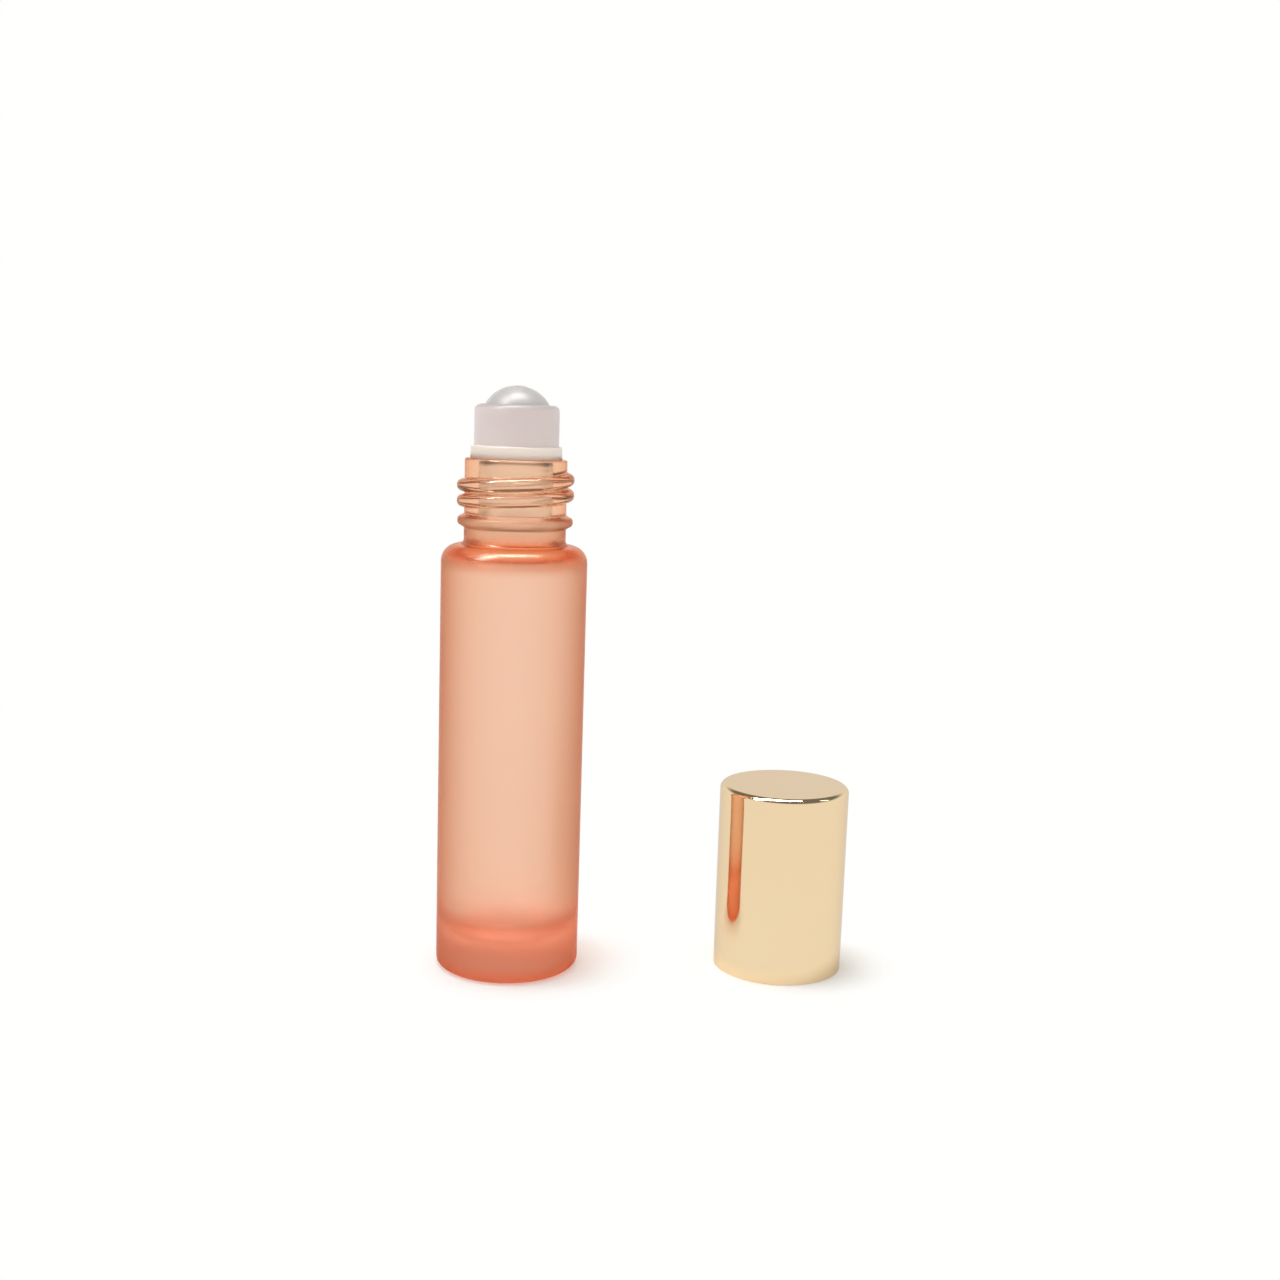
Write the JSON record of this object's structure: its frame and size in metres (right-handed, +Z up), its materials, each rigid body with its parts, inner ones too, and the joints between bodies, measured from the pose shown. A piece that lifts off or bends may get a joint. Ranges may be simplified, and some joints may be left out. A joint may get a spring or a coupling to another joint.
{
  "type": "roll-on bottle",
  "caption": "Slim frosted glass roll-on bottle with a threaded neck and a ball in a plug-in housing; its lined metal screw cap stands beside it.",
  "frame": {"origin": "centre of the bottle's foot, on the surface it stands on", "axes": "+Z up along the bottle's axis, +X towards the side on which the cap stands, -Y towards the viewer"},
  "size_m": [0.0577, 0.0233, 0.0809],
  "materials": {
    "coral_glass": "coral tinted, frosted body, clear glossy neck",
    "housing_plastic": "translucent natural, satin",
    "ball_plastic": "milky, polished",
    "gold_metal": "champagne gold, mirror bright",
    "liner_plastic": "moulded, satin white"
  },
  "bodies": {
    "bottle": {"glass_bottle": "coral_glass", "roller_housing": "housing_plastic"},
    "ball": {"roller_ball": "ball_plastic"},
    "cap": {"cap_shell": "gold_metal", "cap_liner": "liner_plastic"}
  },
  "joints": [
    {"name": "ball_spin", "type": "hinge", "parent": "bottle", "child": "ball", "pos_m": [0, 0, 0.0759], "axis": [1, 0, 0], "continuous": true},
    {"name": "cap_lift", "type": "slide", "parent": "bottle", "child": "cap", "axis": [0, 0, 1], "range_m": [0, 0.09]}
  ]
}
